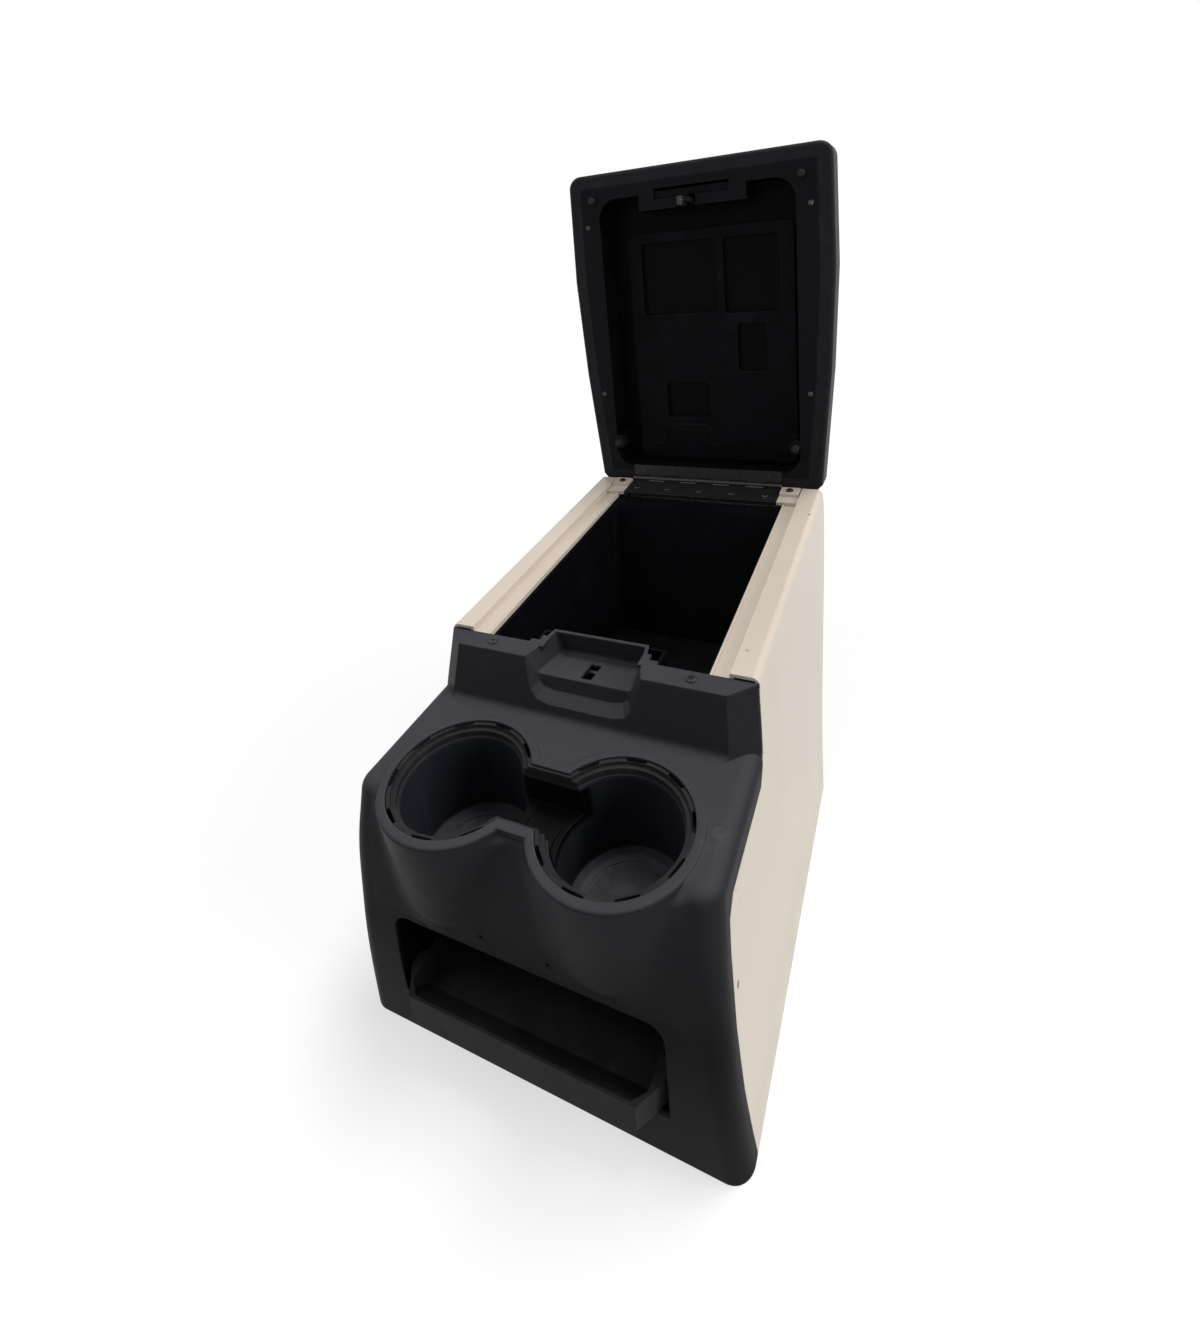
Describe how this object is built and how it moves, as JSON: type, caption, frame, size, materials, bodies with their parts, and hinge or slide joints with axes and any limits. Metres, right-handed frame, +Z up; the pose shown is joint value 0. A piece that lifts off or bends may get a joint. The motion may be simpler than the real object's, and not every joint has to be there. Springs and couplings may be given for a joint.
{
  "type": "car center console",
  "caption": "Car center console: lidded storage bin between beige side panels, with a dark front bezel holding joined cup wells, a latch recess and a pull-out tray.",
  "frame": {"origin": "centre of the four floor bolt holes, at floor level", "axes": "+X to the right seen from the front, +Y to the rear, +Z up"},
  "size_m": [0.32, 0.6104, 0.6291],
  "materials": {
    "bezel_plastic": "satin charcoal",
    "beige_plastic": "semi-gloss warm beige",
    "black_plastic": "near-black",
    "mat_rubber": "matt",
    "ring_plastic": "worn dark grey",
    "tray_plastic": "satin dark grey",
    "lid_plastic": "satin charcoal",
    "liner_plastic": "near-black",
    "bumper_rubber": "matt",
    "black_steel": "worn black",
    "dark_steel": "dark",
    "steel": "plain"
  },
  "bodies": {
    "console": {"front_bezel": "bezel_plastic", "side_panel_left": "beige_plastic", "side_panel_right": "beige_plastic", "rear_panel": "beige_plastic", "rear_crossbar": "beige_plastic", "storage_bin": "black_plastic", "bin_mat": "mat_rubber", "cup_insert": "black_plastic", "cup_ring": "ring_plastic", "striker": "steel", "bezel_screws": "dark_steel", "tray_housing": "black_plastic", "tray_runners": "black_plastic", "hinge_body_leaf": "black_steel", "hinge_pin": "steel", "hinge_screws": "dark_steel", "end_block_screws": "dark_steel", "floor_foot_front": "steel", "floor_foot_rear": "steel"},
    "lid": {"lid_cover": "lid_plastic", "lid_liner": "liner_plastic", "liner_screws": "dark_steel", "lid_bumpers": "bumper_rubber", "hinge_lid_leaf": "black_steel", "lid_leaf_screws": "dark_steel", "latch_frame": "black_plastic", "latch_pin": "steel"},
    "latch": {"latch_paddle": "liner_plastic", "latch_hook": "dark_steel"},
    "sliding_tray": {"tray": "tray_plastic"}
  },
  "joints": [
    {"name": "lid_hinge", "type": "hinge", "parent": "console", "child": "lid", "pos_m": [0, 0.3347, 0.257], "axis": [1, 0, 0], "range_deg": [0, 96.6]},
    {"name": "latch_pivot", "type": "hinge", "parent": "lid", "child": "latch", "pos_m": [0, 0.39193, 0.5863], "axis": [1, 0, 0], "range_deg": [-9, 0], "stiffness_Nm_per_rad": 0.3, "springref_deg": 5.73},
    {"name": "tray_slide", "type": "slide", "parent": "console", "child": "sliding_tray", "axis": [0, -1, 0], "range_m": [0, 0.09]}
  ]
}
